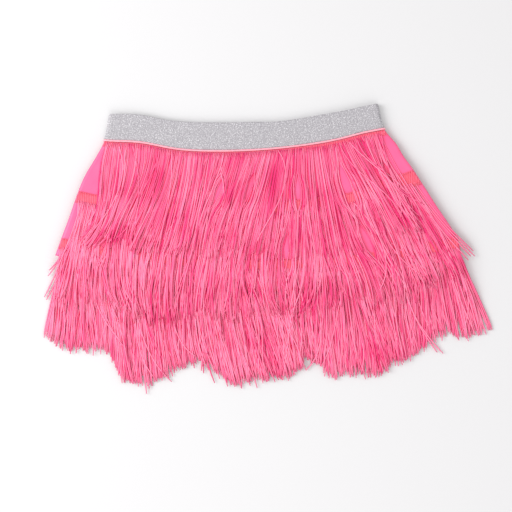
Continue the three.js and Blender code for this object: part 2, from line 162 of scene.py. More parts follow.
class SkirtColours(bpy.types.PropertyGroup):
    silver_light: paint("Silver light", "Bright yarn of the elastic", "ABA8AC")
    silver_dark: paint("Silver dark", "Dark gaps of the elastic's knit", "949096")
    # Lighter specks of metallic yarn, with their glints painted in.
    silver_glint_speck: paint("Silver speck", "Glitter specks of the elastic", "D6D4D7")
    binding: paint("Binding", "Rolled edge under the elastic", "FFA9B8")
    cloth: paint("Cloth", "Jersey of the front and back", "FB6294")
    heading: paint("Heading", "Woven heading of the fringes", "F4667F")
    stitch: paint("Stitch", "Sewing thread", "E0486F")
    strand_light: paint("Strand light", "Lightest fringe strands", "F4A6B7")
    strand_mid: paint("Strand middle", "Most fringe strands", "EC84A0")
    strand_deep: paint("Strand deep", "Deepest fringe strands", "E44C82")
    floor: paint("Floor", "Plain pale table top", "D7D6D7")


def linear(hex_colour):
    """Turns an sRGB hex colour into linear red, green, blue and alpha."""
    parts = [int(hex_colour[i:i + 2], 16) / 255 for i in (0, 2, 4)]
    return [p / 12.92 if p <= 0.04045 else ((p + 0.055) / 1.055) ** 2.4 for p in parts] + [1.0]


# Shape of the laid skirt, all in mm and as numpy arrays

def read(table, at, column):
    return np.interp(at, table[:, 0], table[:, column])


def read_smooth(table, at, column):
    """A smooth curve through a table's rows, the same one the model's solids follow."""
    keys, values = table[:, 0], table[:, column]
    last = len(keys) - 1
    held = np.clip(at, keys[0], keys[-1])
    i = np.clip(np.searchsorted(keys, held), 1, last)
    below, above = i - 1, i

    def slope(k):
        ahead, behind = np.minimum(k + 1, last), np.maximum(k - 1, 0)
        return (values[ahead] - values[behind]) / (keys[ahead] - keys[behind])

    span = keys[above] - keys[below]
    t = (held - keys[below]) / span
    return (
        values[below] * (1 + 2 * t) * (1 - t) ** 2
        + slope(below) * span * t * (1 - t) ** 2
        + values[above] * t * t * (3 - 2 * t)
        + slope(above) * span * t * t * (t - 1)
    )


def smoothstep(x, low, high):
    t = np.clip((x - low) / (high - low), 0, 1)
    return t * t * (3 - 2 * t)


def ends_at(down):
    return read_smooth(LEVELS, down, LEFT_X), read_smooth(LEVELS, down, RIGHT_X)


def across_at(x, down):
    left, right = ends_at(down)
    return np.clip((2 * x - left - right) / (right - left), -1, 1)


def line_y(down, x):
    held = np.minimum(down, PANEL_HEM)
    across = across_at(x, held)
    left, right = read_smooth(LEVELS, held, LEFT_Y), read_smooth(LEVELS, held, RIGHT_Y)
    y = left + (right - left) * (across + 1) / 2
    y = y - read_smooth(LEVELS, held, SAG) * (1 - across**2)
    for wave_down, wave_x, reach, lift, fade in WAVES:
        near = np.maximum(0, 1 - np.abs(held - wave_down) / fade)
        y = y + lift * near * np.exp(-(((x - wave_x) / reach) ** 2) * 2)
    return y - np.maximum(0, down - PANEL_HEM)


def point_at(across, down):
    left, right = ends_at(down)
    x = left + (right - left) * (across + 1) / 2
    return x, line_y(down, x)


def down_at(x, y):
    near, far = np.full(np.shape(x), -40.0), np.full(np.shape(x), 300.0)
    for _ in range(26):
        middle = (near + far) / 2
        above = line_y(middle, x) > y
        near = np.where(above, middle, near)
        far = np.where(above, far, middle)
    return (near + far) / 2


def back_underside(down):
    return read(BACK_UNDERSIDE, down, 1)


def front_underside(x, down):
    across = across_at(x, np.minimum(down, PANEL_HEM))
    opening = smoothstep(down, 0, 40)
    held = WAIST_OPENING * (1 - smoothstep(down, 0, WAIST_OPENING_FADE))
    pillow = PILLOW * opening * (1 - across**2)
    return back_underside(down) + CLOTH_THICKNESS + SEAM_GAP + held + pillow


def bed_top(x, down):
    on_cloth = front_underside(x, down) + CLOTH_THICKNESS
    at_hem = front_underside(x, PANEL_HEM) + CLOTH_THICKNESS
    first, floor = BED_PAST_HEM[0, 1], BED_PAST_HEM[-1, 1]
    level = read(BED_PAST_HEM, down, 1)
    past = floor + (level - floor) * ((at_hem - floor) / (first - floor))
    return np.where(down <= PANEL_HEM, on_cloth, past)


# Length once round a strand, in mm, which its UV map runs over from the top down and back up.
STRAND_GIRTH = 4.7

# Spacing of the upright yarns of a heading, in mm, drawn about twice as coarse as real ones so
# that they show.
HEADING_RIB = 2.0


# Mesh helpers

def place(x, y, z):
    """Local mm to metres in the model's frame."""
    return np.stack(np.broadcast_arrays(x + WAIST_MIDDLE[0], y + WAIST_MIDDLE[1], z), -1) * MM


def add_object(name, mesh):
    obj = bpy.data.objects.new(name, mesh)
    bpy.context.scene.collection.objects.link(obj)
    return obj


def object_from_bmesh(name, bm):
    mesh = bpy.data.meshes.new(name)
    bm.to_mesh(mesh)
    bm.free()
    return add_object(name, mesh)


def finish_piece(obj, material, nodes=()):
    for polygon in obj.data.polygons:
        polygon.use_smooth = True
    obj.data.materials.clear()
    obj.data.materials.append(material)
    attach(obj, "root")
    if nodes:
        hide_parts(*nodes)
    return obj


def mesh_from_arrays(name, points, quads, caps, uv_quads, shade):
    """One mesh from numpy arrays: quads with their UVs, cap polygons and a shade for each point."""
    mesh = bpy.data.meshes.new(name)
    mesh.vertices.add(len(points))
    mesh.vertices.foreach_set("co", points.astype(np.float32).ravel())
    side = caps.shape[1]
    corners = np.concatenate([quads.ravel(), caps.ravel()]).astype(np.int32)
    starts = np.concatenate([
        np.arange(len(quads)) * 4,
        len(quads) * 4 + np.arange(len(caps)) * side,
    ]).astype(np.int32)
    mesh.loops.add(len(corners))
    mesh.loops.foreach_set("vertex_index", corners)
    mesh.polygons.add(len(starts))
    mesh.polygons.foreach_set("loop_start", starts)
    uv = mesh.uv_layers.new(name="UVMap")
    uv.data.foreach_set("uv", np.concatenate([uv_quads.ravel(), np.zeros(caps.size * 2)]))
    layer = mesh.attributes.new("shade", "FLOAT", "POINT")
    layer.data.foreach_set("value", shade.astype(np.float32))
    mesh.update(calc_edges=True)
    mesh.validate()
    return mesh


def grid_shell(name, columns, rows, top, bottom, reach, height_at, thickness):
    """A closed cloth shell from a bmesh grid between two levels. height_at(x, down) gives the
    height of its underside, and the upper skin lies thickness above it."""
    bm = bmesh.new()
    layer = bm.loops.layers.uv.new("UVMap")
    bmesh.ops.create_grid(bm, x_segments=columns, y_segments=rows, size=0.5)
    u, v = np.array([vert.co.xy[:] for vert in bm.verts]).T + 0.5
    down = top + (bottom - top) * (1 - v)
    x, y = point_at((2 * u - 1) * reach, down)
    for vert, co in zip(bm.verts, place(x, y, height_at(x, down))):
        vert.co = co
    for face in bm.faces:
        for loop in face.loops:
            loop[layer].uv = (loop.vert.co.x * 10, loop.vert.co.y * 10)
    base = bm.faces[:]
    made = bmesh.ops.extrude_face_region(bm, geom=base, use_keep_orig=True)
    for element in made["geom"]:
        if isinstance(element, bmesh.types.BMVert):
            element.co.z += thickness * MM
    bmesh.ops.recalc_face_normals(bm, faces=bm.faces[:])
    return object_from_bmesh(name, bm)


# Materials

WHITE = (1, 1, 1, 1)
# Painted shade, as tints that are multiplied in: in a strand's twist grooves, down its flanks, and
# between heading ribs.
GROOVE_PAINTED_SHADE = (1, 0.72, 0.92, 1)
FLANK_PAINTED_SHADE = (0.95, 0.22, 0.54, 1)
BETWEEN_RIBS_PAINTED_SHADE = (0.8, 0.5, 0.6, 1)
# Shares of a strand's girth, from the bottom up, at which the painted shade on its flank starts to
# fade and is gone.
FLANK_SHARE = 0.30
CROWN_SHARE = 0.49
# How far the wide soft patches of painted light and shade on the fringe shift a strand's tone.
PAINTED_PATCH_STRENGTH = 0.9


def node(tree, kind, settings=None, links=None):
    """Adds a shader node with its settings and the sockets that feed it."""
    made = tree.nodes.new(kind)
    for key, value in (settings or {}).items():
        if isinstance(key, int) or key in made.inputs:
            made.inputs[key].default_value = value
        else:
            setattr(made, key, value)
    for key, socket in (links or {}).items():
        tree.links.new(socket, made.inputs[key])
    return made


def new_material(name):
    material = bpy.data.materials.new(name)
    material.use_nodes = True
    tree = material.node_tree
    tree.nodes.clear()
    return material, tree


def texture(tree, kind, settings):
    """A texture in the model's own coordinates, in metres."""
    where = node(tree, "ShaderNodeTexCoord")
    return node(tree, "ShaderNodeTex" + kind, settings, {"Vector": where.outputs["Object"]})


def calculate(tree, operation, first, second):
    return node(tree, "ShaderNodeMath", {"operation": operation, 1: second}, {0: first})


def surface(tree, colour, settings, relief=None, strength=0.0, distance=0.0):
    """Ends a material with its surface, and with relief as a fine bump where there is one."""
    links = {"Base Color": colour.outputs["Color"]} if colour else {}
    if relief is not None:
        bump = node(tree, "ShaderNodeBump", {"Strength": strength, "Distance": distance},
                    {"Height": relief})
        links["Normal"] = bump.outputs["Normal"]
    shader = node(tree, "ShaderNodeBsdfPrincipled", settings, links)
    node(tree, "ShaderNodeOutputMaterial", links={"Surface": shader.outputs[0]})


def ramp(tree, fac, stops):
    made = node(tree, "ShaderNodeValToRGB", links={"Fac": fac})
    elements = made.color_ramp.elements
    while len(elements) < len(stops):
        elements.new(0.5)
    for element, (position, colour) in zip(elements, stops):
        element.position = position
        element.color = colour
    return made


def multiply(tree, first, second):
    return node(tree, "ShaderNodeMixRGB", {"blend_type": "MULTIPLY", "Fac": 1.0},
                {"Color1": first.outputs["Color"], "Color2": second.outputs["Color"]})


def mottled(tree, scale, detail, base, dimmed):
    """A colour with soft patches of a deeper one, dimmed being the share left of each channel."""
    mottle = texture(tree, "Noise", {"Scale": scale, "Detail": detail})
    deep = [channel * share for channel, share in zip(base, dimmed)] + [1.0]
    return ramp(tree, mottle.outputs["Fac"], [(0.3, deep), (0.7, base)])


def strand_material(colours):
    """Soft matt rayon: deep to light pink at random from strand to strand, with wide soft patches
    of painted light and shade, a fine twist along each strand with painted shade in its grooves,
    and painted shade, a deeper pink, down its flanks, where strands lie together."""
    material, tree = new_material("rayon_fringe_strand")
    shade = node(tree, "ShaderNodeAttribute", {"attribute_name": "shade"})
    along = node(tree, "ShaderNodeUVMap", {"uv_map": "UVMap"})
    twist_scale = node(tree, "ShaderNodeMapping", {"Rotation": (0, 0, 0.9)},
                       {"Vector": along.outputs["UV"]})
    twist = node(tree, "ShaderNodeTexWave", {"Scale": 0.55, "Distortion": 1.2, "Detail": 1.0},
                 {"Vector": twist_scale.outputs["Vector"]})
    # Painted light and shade: wide soft lighter and darker patches over the fringe.
    patches = texture(tree, "Noise", {"noise_dimensions": "2D", "Scale": 28.0, "Detail": 1.0})
    tone = node(tree, "ShaderNodeMath", {"operation": "MULTIPLY_ADD", 1: PAINTED_PATCH_STRENGTH},
                {0: patches.outputs["Fac"], 2: shade.outputs["Fac"]})
    tone = calculate(tree, "SUBTRACT", tone.outputs[0], PAINTED_PATCH_STRENGTH / 2)
    colour = ramp(tree, tone.outputs[0], [
        (0.0, linear(colours.strand_deep)),
        (0.45, linear(colours.strand_mid)),
        (1.0, linear(colours.strand_light)),
    ])
    # Painted shade: the grooves of the twist are tinted deeper.
    groove_painted_shade = ramp(tree, twist.outputs["Fac"], [(0.0, GROOVE_PAINTED_SHADE), (1.0, WHITE)])
    with_groove_shade = multiply(tree, colour, groove_painted_shade)
    around = node(tree, "ShaderNodeSeparateXYZ", links={"Vector": along.outputs["UV"]})
    off_bottom = calculate(tree, "SUBTRACT", around.outputs["X"], STRAND_GIRTH / 2)
    from_bottom = node(tree, "ShaderNodeMath", {"operation": "ABSOLUTE"},
                       {0: off_bottom.outputs[0]})
    crown = node(tree, "ShaderNodeMapRange", {
        "From Min": STRAND_GIRTH * FLANK_SHARE, "From Max": STRAND_GIRTH * CROWN_SHARE,
    }, {"Value": from_bottom.outputs[0]})
    # Painted shade: a strand's flanks, where strands lie together, are tinted a deeper pink.
    flank_painted_shade = ramp(tree, crown.outputs["Result"], [(0.0, FLANK_PAINTED_SHADE), (1.0, WHITE)])
    deeper = multiply(tree, with_groove_shade, flank_painted_shade)
    surface(tree, deeper, {"Roughness": 0.8, "Specular IOR Level": 0.0},
            twist.outputs["Fac"], 0.25, 0.0002)
    return material


def jersey_material(colours):
    """Smooth pink stretch jersey: fine knit columns and a satin glow in its soft folds."""
    material, tree = new_material("pink_stretch_jersey")
    knit = texture(tree, "Wave", {"Scale": 450.0, "Distortion": 2.0})
    colour = mottled(tree, 60.0, 3.0, linear(colours.cloth), (1.0, 0.8, 0.88))
    surface(tree, colour, {"Roughness": 0.5, "Sheen Weight": 0.3, "Sheen Roughness": 0.4},
            knit.outputs["Fac"], 0.15, 0.0001)
    return material


def heading_material(colours):
    """Woven coral heading: upright yarns close together, with painted shade between them."""
    material, tree = new_material("woven_coral_heading")
    colour = mottled(tree, 300.0, 2.0, linear(colours.heading), (0.92, 0.7, 0.75))
    ribs = texture(tree, "Wave", {"Scale": 2 * math.pi / (20 * HEADING_RIB * MM)})
    # Painted shade: darker between the heading's ribs.
    between = ramp(tree, ribs.outputs["Fac"], [(0.1, BETWEEN_RIBS_PAINTED_SHADE), (0.6, WHITE)])
    woven = multiply(tree, colour, between)
    surface(tree, woven, {"Roughness": 0.65, "Sheen Weight": 0.2})
    return material


def thread_material(name, hex_colour):
    """Plain sewing thread or soft rolled edge: matt, with a slight fuzz of tone."""
    material, tree = new_material(name)
    colour = mottled(tree, 500.0, 2.0, linear(hex_colour), (0.85, 0.85, 0.85))
    surface(tree, colour, {"Roughness": 0.7, "Sheen Weight": 0.2})
    return material


def elastic_material(colours):
    """Silver glitter elastic: fine knit ribs, with single lighter specks of metallic yarn whose
    glints are painted in as colour.
    """
    material, tree = new_material("silver_glitter_elastic")
    specks = texture(tree, "Voronoi", {"voronoi_dimensions": "2D", "Scale": 2300.0})
    speck_tone = node(tree, "ShaderNodeSeparateColor", links={"Color": specks.outputs["Color"]})
    cloud = texture(tree, "Noise", {"noise_dimensions": "2D", "Scale": 1000.0, "Detail": 3.0})
    blend = node(tree, "ShaderNodeMath", {"operation": "MULTIPLY_ADD", 1: 0.45},
                 {0: speck_tone.outputs[0], 2: cloud.outputs["Fac"]})
    # The brightest specks carry painted glints.
    colour = ramp(tree, blend.outputs[0], [
        (0.35, linear(colours.silver_dark)), (0.85, linear(colours.silver_light)),
        (0.97, linear(colours.silver_glint_speck)),
    ])
    ribs = texture(tree, "Wave", {"Scale": 320.0, "Distortion": 1.5})
    relief = node(tree, "ShaderNodeMath", {"operation": "ADD"},
                  {0: ribs.outputs["Fac"], 1: speck_tone.outputs[1]})
    surface(tree, colour, {"Roughness": 0.7, "Metallic": 0.1, "Specular IOR Level": 0.25},
            relief.outputs[0], 0.3, 0.0002)
    return material


def floor_material(colours):
    """Plain pale table top, matt."""
    material, tree = new_material("pale_table_top")
    surface(tree, None, {
        "Base Color": linear(colours.floor), "Roughness": 0.9, "Specular IOR Level": 0.1,
    })
    return material


def shared_material(name, make):
    return bpy.data.materials.get(name) or make()


# Fringe strands

STRAND_POINTS = 15
STRAND_SIDES = 5
# The height map: its cells and its edges from the middle of the waist seam, in mm.
MAP_STEP = 0.5
MAP_LEFT, MAP_RIGHT, MAP_LOW, MAP_HIGH = -205.0, 235.0, -235.0, 60.0
# Share of a level that has roots, how far roots lie over and under one another in mm, and the
# share of strands that go their own way.
ROOT_REACH = 0.985
ROOT_JITTER = 0.5
WILD_SHARE = 0.1
# Width of a bundle of strands, in mm.
BUNDLE_WIDTH = (4, 11)
# Spread, in degrees, of what a bundle, each strand of it and the few wild strands add to the lean
# of their fringe, all along (lean), growing along it (bend) and to and fro (wave).
BUNDLE_LEAN, BUNDLE_BEND, BUNDLE_WAVE = 2.6, 9.0, 8.0
OWN_LEAN, OWN_BEND = 1.2, 3.2
WILD_LEAN, WILD_BEND = 7, 14
# Spread, in mm, of the length of bundles, of strands, and of the slow change along a fringe.
BUNDLE_LENGTH, OWN_LENGTH, SLOW_LENGTH = 2.6, 2.4, 3.0
# Length that every strand of the lowest fringe has before the hem line cuts it, in mm.
UNCUT_LENGTH = 130.0
# How much lower the upper front strands start towards the right end, where its heading shows.
LOWER_ROOTS = 1.3
WAVE_TURNS = 1.1


class Pile:
    """Height of everything laid so far, on a fine grid, so that strands lie on one another."""

    FINE_STEP = 0.7
    # Where a strand feels what is under it: shares of half its width to the side.
    FELT = (-0.6, 0.0, 0.6)
    # A strand sinks between those under it: how high its middle lies above them, and at least, as
    # shares of half its height.
    RISE, LEAST_RISE = 0.22, 0.08
    # Weights of the points along a strand that smooth its height.
    SMOOTHING = (1, 2, 3, 4, 5, 4, 3, 2, 1)
    # What a strand adds to the map: shares of half its width to the side and half its height up.
    ADDED = ((-0.5, -0.05), (0.5, -0.05), (0.0, 0.17))

    def __init__(self, heights):
        self.heights = heights

    @staticmethod
    def grid():
        xs = np.arange(MAP_LEFT, MAP_RIGHT, MAP_STEP)
        ys = np.arange(MAP_LOW, MAP_HIGH, MAP_STEP)
        return np.meshgrid(xs, ys)

    def cells(self, x, y):
        """Rows and columns of the map's cells at these points."""
        return tuple(
            np.clip(((at - start) / MAP_STEP + 0.5).astype(int), 0, size - 1)
            for at, start, size in zip((y, x), (MAP_LOW, MAP_LEFT), self.heights.shape))

    def lay(self, path, root_z, half_width, half_height, ceiling=None):
        """Lays one strand along its path and returns the height of its middle at each point."""
        step = np.hypot(*np.diff(path, axis=0).T)
        length = np.concatenate([[0], np.cumsum(step)])
        fine = np.linspace(0, length[-1], int(length[-1] / self.FINE_STEP) + 2)
        x, y = np.interp(fine, length, path[:, 0]), np.interp(fine, length, path[:, 1])
        dx, dy = np.gradient(x), np.gradient(y)
        norm = np.hypot(dx, dy)
        side_x, side_y = -dy / norm, dx / norm

        def beside(shift):
            return self.cells(x + side_x * shift * half_width, y + side_y * shift * half_width)

        below = np.max([self.heights[beside(shift)] for shift in self.FELT], axis=0)
        z = below + half_height * self.RISE
        padded = np.pad(z, 2, mode="edge")
        z = np.max([padded[i:i + len(z)] for i in range(5)], axis=0)
        padded = np.pad(z, len(self.SMOOTHING) // 2, mode="edge")
        weighted = (w * padded[i:i + len(z)] for i, w in enumerate(self.SMOOTHING))
        z = np.maximum(sum(weighted) / sum(self.SMOOTHING), below + half_height * self.LEAST_RISE)
        near_root = 1 - smoothstep(fine, 1.5, 6.0)
        z = z * (1 - near_root) + root_z * near_root
        if ceiling is not None:
            z = np.minimum(z, ceiling(x, y) - half_height)
        z = np.maximum(z, half_height + 0.05)
        for shift, rise in self.ADDED:
            np.maximum.at(self.heights, beside(shift), z + half_height * rise)
        return np.interp(length, fine, z)


def smooth_noise(rng, low, high, spacing, scale):
    """A smooth random curve over low to high, as a function."""
    knots = np.arange(low - spacing, high + 2 * spacing, spacing)
    values = rng.normal(0, scale, len(knots))

    def at(x):
        u = (np.asarray(x) - knots[0]) / spacing
        i = np.clip(u.astype(int), 0, len(knots) - 2)
        t = smoothstep(u - i, 0, 1)
        return values[i] * (1 - t) + values[i + 1] * t

    return at


def lead(roots, start_down, lengths, lean_at):
    """Paths seen from above, in local mm, of strands that start on a level and lean, in degrees
    from straight down, as lean_at says for a share of their length."""
    level = start_down + (LOWER_ROOTS if start_down < 3 else 0.0) * smoothstep(roots, 30, 70)
    x, y = roots.copy(), line_y(level, roots)
    paths = [np.stack([x, y], -1)]
    steps = STRAND_POINTS - 1
    for k in range(steps):
        angle = np.radians(lean_at((k + 0.5) / steps))
        x = x + np.sin(angle) * lengths / steps
        y = y - np.cos(angle) * lengths / steps
        paths.append(np.stack([x, y], -1))
    return np.stack(paths, 1)


def through_thirds(t, upper, middle, lower):
    """A smooth lean that has the three given values in the three thirds of a strand."""
    lean = upper * (t - 0.5) * (t - 0.85) / 0.245 - middle * (t - 0.15) * (t - 0.85) / 0.1225
    return lean + lower * (t - 0.15) * (t - 0.5) / 0.245


def grow(rng, fall, start_down, pitch, length, loose, hem=None):
    """Paths of one fringe's strands, seen from above, in local mm: strands by points by 2.
    Strands lie in two layers of bundles, so that one layer closes the other's gaps."""
    first = float(point_at(np.array(-ROOT_REACH), np.array(float(start_down)))[0])
    last = float(point_at(np.array(ROOT_REACH), np.array(float(start_down)))[0])
    last = min(last, float(fall[-1, 0]))
    count = int((last - first) / pitch)
    roots = np.linspace(first, last, count) + rng.normal(0, pitch * 0.25, count)
    centre, bundle_lean, bundle_bend, bundle_length = (np.zeros(count) for _ in range(4))
    wave, wave_phase = np.zeros(count), np.zeros(count)
    for layer in range(2):
        edges = [first - 3 - rng.uniform(0, 6)]
        while edges[-1] < last + 3:
            edges.append(edges[-1] + rng.uniform(*BUNDLE_WIDTH))
        edges = np.array(edges)
        mine = np.arange(count) % 2 == layer
        bundle = np.clip(np.searchsorted(edges, roots[mine]) - 1, 0, len(edges) - 2)
        centre[mine] = (edges[bundle] + edges[bundle + 1]) / 2
        bundle_lean[mine] = rng.normal(0, BUNDLE_LEAN * loose, len(edges))[bundle]
        bundle_bend[mine] = rng.normal(0, BUNDLE_BEND * loose, len(edges))[bundle]
        bundle_length[mine] = rng.normal(0, BUNDLE_LENGTH, len(edges))[bundle]
        wave[mine] = rng.normal(0, BUNDLE_WAVE * loose**2, len(edges))[bundle]
        wave_phase[mine] = rng.uniform(0, 2 * math.pi, len(edges))[bundle]
    looser = loose * (1 + smoothstep(roots / last, 0.6, 0.95))
    own_lean = rng.normal(0, 1.0, count) * OWN_LEAN * looser
    own_bend = rng.normal(0, 1.0, count) * OWN_BEND * looser
    is_wild = rng.random(count) < WILD_SHARE * looser
    own_lean = own_lean + is_wild * rng.normal(0, WILD_LEAN, count)
    own_bend = own_bend + is_wild * rng.normal(0, WILD_BEND, count)
    outward = np.where(roots < (first + last) / 2, -1.0, 1.0)
    edge = 1 - smoothstep(np.minimum(roots - first, last - roots), 0, 25)
    held_in = 1 - 0.85 * edge
    own_lean, own_bend, bundle_lean, bundle_bend = (
        np.where(turned * outward > 0, turned * held_in, turned)
        for turned in (own_lean, own_bend, bundle_lean, bundle_bend))
    ripple = rng.uniform(0.5, 4.0, count) * loose
    ripple_turns = rng.uniform(0.7, 1.9, count)
    ripple_phase = rng.uniform(0, 2 * math.pi, count)
    lengths = length + bundle_length + rng.normal(0, OWN_LENGTH, count)
    lengths = lengths + smooth_noise(rng, first, last, 13.0, SLOW_LENGTH)(roots)
    lengths = lengths - (rng.random(count) < 0.15) * rng.uniform(2, 14, count)
    if hem is not None:
        lengths = np.full(count, UNCUT_LENGTH)
    followed = roots * 0.6 + centre * 0.4
    thirds = [read(fall, followed, column) for column in (1, 2, 3)]

    def lean_at(t):
        lean = through_thirds(t, *thirds) + bundle_lean * min(1, t * 2)
        lean = lean + bundle_bend * (t - 0.4) + own_lean + own_bend * (t - 0.3)
        lean = lean + wave * t * np.sin(2 * math.pi * WAVE_TURNS * t + wave_phase)
        return lean + ripple * (0.4 + t) * np.sin(2 * math.pi * ripple_turns * t + ripple_phase)

    paths = lead(roots, start_down, lengths, lean_at)
    return paths if hem is None else cut_at_hem(rng, paths, hem)


def part(paths, name):
    """Moves strands to the two sides of each of a fringe's partings."""
    uneven = np.random.default_rng(PARTING_SEED).uniform(*PARTING_SHARES, (len(paths), 1))
    for top_x, top_y, low_x, low_y, width in PARTINGS.get(name, ()):
        share = (top_y - paths[..., 1]) / (top_y - low_y)
        away = paths[..., 0] - (top_x + (low_x - top_x) * share)
        nearest = np.abs(share - 0.5).argmin(1)
        side = np.sign(away[np.arange(len(paths)), nearest])[:, None]
        opened = width / 2 * smoothstep(share, 0, 0.5) * (1 - smoothstep(share, 0.9, 1.3))
        opened = opened * uneven
        near = np.clip(1 - np.abs(away) / np.maximum(3 * opened, 1e-6), 0, 1)
        paths[..., 0] += side * opened * near
    return paths


def stray_paths(name, start_down):
    """The few single strands that show apart from the rest."""
    if name not in STRAYS:
        return np.zeros((0, STRAND_POINTS, 2))
    root, upper, middle, lower, length = np.array(STRAYS[name]).T
    return lead(root, start_down, length, lambda t: through_thirds(t, upper, middle, lower))


def cut_at_hem(rng, paths, hem):
    """Cuts each path where it crosses the hem line, with the loose ends of real strands."""
    count = len(paths)
    past = rng.normal(-0.8, 2.0, count) + (rng.random(count) < 0.06) * rng.uniform(2, 7, count)
    past = past - (rng.random(count) < 0.12) * rng.uniform(2, 8, count)
    short = []
    for path, extra in zip(paths, past):
        limit = read(hem, path[:, 0], 1) - extra
        beyond = path[:, 1] < limit
        beyond[:6] = False
        end = int(np.argmax(beyond)) if beyond.any() else len(path) - 1
        gap_before = path[end - 1, 1] - limit[end - 1]
        gap_after = path[end, 1] - limit[end]
        share = np.clip(gap_before / max(gap_before - gap_after, 1e-6), 0, 1)
        where = (end - 1 + share) * np.linspace(0, 1, STRAND_POINTS)
        index = np.arange(len(path))
        short.append(np.stack([np.interp(where, index, path[:, 0]),
                               np.interp(where, index, path[:, 1])], -1))
    return np.stack(short)


def tubes(name, lines, shades, width, height):
    """One object of strands: lines is strands by points by 3 in mm, local."""
    count, points, _ = lines.shape
    tangent = np.gradient(lines, axis=1)
    tangent /= np.linalg.norm(tangent, axis=2, keepdims=True)
    side = np.stack([-tangent[..., 1], tangent[..., 0], np.zeros((count, points))], -1)
    side /= np.linalg.norm(side, axis=2, keepdims=True)
    up = np.cross(tangent, side)
    up *= np.sign(up[..., 2:3])
    turn = (0.25 + np.arange(STRAND_SIDES) / STRAND_SIDES) * 2 * math.pi
    taper = np.ones(points)
    taper[-1], taper[-2], taper[0] = 0.6, 0.9, 0.6
    across = side[:, :, None] * (np.cos(turn)[None, None, :, None] * width / 2)
    rise = up[:, :, None] * (np.sin(turn)[None, None, :, None] * height / 2)
    ring = lines[:, :, None] + (across + rise) * taper[None, :, None, None]
    flat = ring.reshape(-1, 3)
    co = place(flat[:, 0], flat[:, 1], flat[:, 2])

    s, p, k = np.meshgrid(np.arange(count), np.arange(points - 1), np.arange(STRAND_SIDES),
                          indexing="ij")
    after = (k + 1) % STRAND_SIDES

    def index(strand, point, corner):
        return (strand * points + point) * STRAND_SIDES + corner

    quads = np.stack([index(s, p, k), index(s, p, after), index(s, p + 1, after),
                      index(s, p + 1, k)], -1).reshape(-1, 4)
    starts = np.arange(count)[:, None] * points * STRAND_SIDES + np.arange(STRAND_SIDES)[None, :]
    ends = starts + (points - 1) * STRAND_SIDES
    caps = np.concatenate([starts[:, ::-1], ends])
    step = np.linalg.norm(np.diff(lines, axis=1), axis=2)
    length = np.concatenate([np.zeros((count, 1)), np.cumsum(step, 1)], 1)
    u0, u1 = k / STRAND_SIDES * STRAND_GIRTH, (k + 1) / STRAND_SIDES * STRAND_GIRTH
    v0, v1 = length[s, p], length[s, p + 1]
    uv_quads = np.stack([
        np.stack(corner, -1) for corner in ((u0, v0), (u1, v0), (u1, v1), (u0, v1))], -2)
    shade = np.repeat(shades, points * STRAND_SIDES)
    return add_object(name, mesh_from_arrays(name, co, quads, caps, uv_quads, shade))


def strand_shades(rng, count):
    slow = smooth_noise(rng, 0, count, 9, 0.13)(np.arange(count))
    return np.clip(0.5 + slow + rng.normal(0, 0.27, count), 0, 1)


# Each fringe: node name, its heading's top and bottom level, the level where its strands leave
# the heading, the table of how it falls, and whether the hem line cuts it.
FRONT_FRINGES = (
    ("fringe_front_3", 94.0, 104.0, 101.5, LOWER_FALL, 1.2, True),
    ("fringe_front_2", 47.0, 57.0, 54.5, MIDDLE_FALL, 1.0, False),
    ("fringe_front_1", 1.3, 5.5, 1.8, UPPER_FALL, 0.65, False),
)
BACK_FRINGES = (
    ("fringe_back_1", 1.3, 5.5, 3.5, BACK_UPPER_FALL, 1.0, False),
    ("fringe_back_2", 47.0, 57.0, 54.5, BACK_MIDDLE_FALL, 1.0, False),
    ("fringe_back_3", 94.0, 104.0, 101.5, BACK_LOWER_FALL, 0.8, True),
)
# Where the strands of a fringe part and show what is under them: x and y of the parting's upper and
# lower end, and its width.
PARTINGS = {
    "fringe_front_1": (
        (82, -6, 95, -48, 10), (-23, -14, -21, -50, 7), (102, -58, 112, -90, 8),
        (-126, -70, -124, -96, 7), (35, -68, 39, -106, 6), (118, -4, 136, -30, 5),
        (45, -16, 50, -48, 8), (8, -14, 3, -46, 6), (-52, -50, -58, -84, 4),
    ),
    "fringe_front_2": (
        (102, -58, 112, -92, 8.5), (-126, -68, -124, -96, 8), (35, -68, 39, -106, 7),
        (87, -101, 88, -123, 6), (6, -92, 4, -122, 4), (-82, -84, -86, -118, 4),
    ),
    "fringe_front_3": (
        (50, -168, 57, -190, 5),
    ),
}
# How unevenly the strands beside a parting open it: least and largest share of its width.
PARTING_SHARES = (0.55, 1.2)
PARTING_SEED = 7
# Single strands that show apart: root x, lean of each third, length.
STRAYS = {
    "fringe_front_1": (
        (100, 34, 52, 20, 88), (106, 22, 44, 58, 84), (112, 16, 34, 62, 80),
        (92, 46, 44, 12, 86), (117, 24, 34, 28, 88), (119.5, 27, 30, 38, 86),
        (121.5, 10, 22, 42, 84), (84, 34, 50, 36, 90), (-112, 10, -20, -38, 88),
        (-99, 12, -4, -36, 90), (30, 14, -22, -30, 88),
    ),
    "fringe_front_2": (
        (146, 33, 38, 43, 86), (147.5, 35, 40, 44, 84), (149, 35, 41, 46, 86),
        (150.5, 36, 40, 47, 81), (-146, -8, -24, -36, 74), (-145, -6, -25, -42, 70),
        (-143, -18, -22, -26, 92), (-141, -16, -21, -28, 94), (120, 2, 30, 52, 90),
        (96, 40, 22, -12, 88),
    ),
    "fringe_front_3": (
        (-101, 6, 14, 36, 118), (-104, 10, 4, 26, 112), (182, 26, 14, -14, 78),
        (179, 12, 22, 24, 80), (60, 10, 6, -26, 96), (138, 8, 26, 40, 96), (141, 4, 22, 34, 92),
        (-133, 6, 16, 34, 92), (-137, 2, 20, 38, 88), (-60, -8, 6, 40, 90),
    ),
}
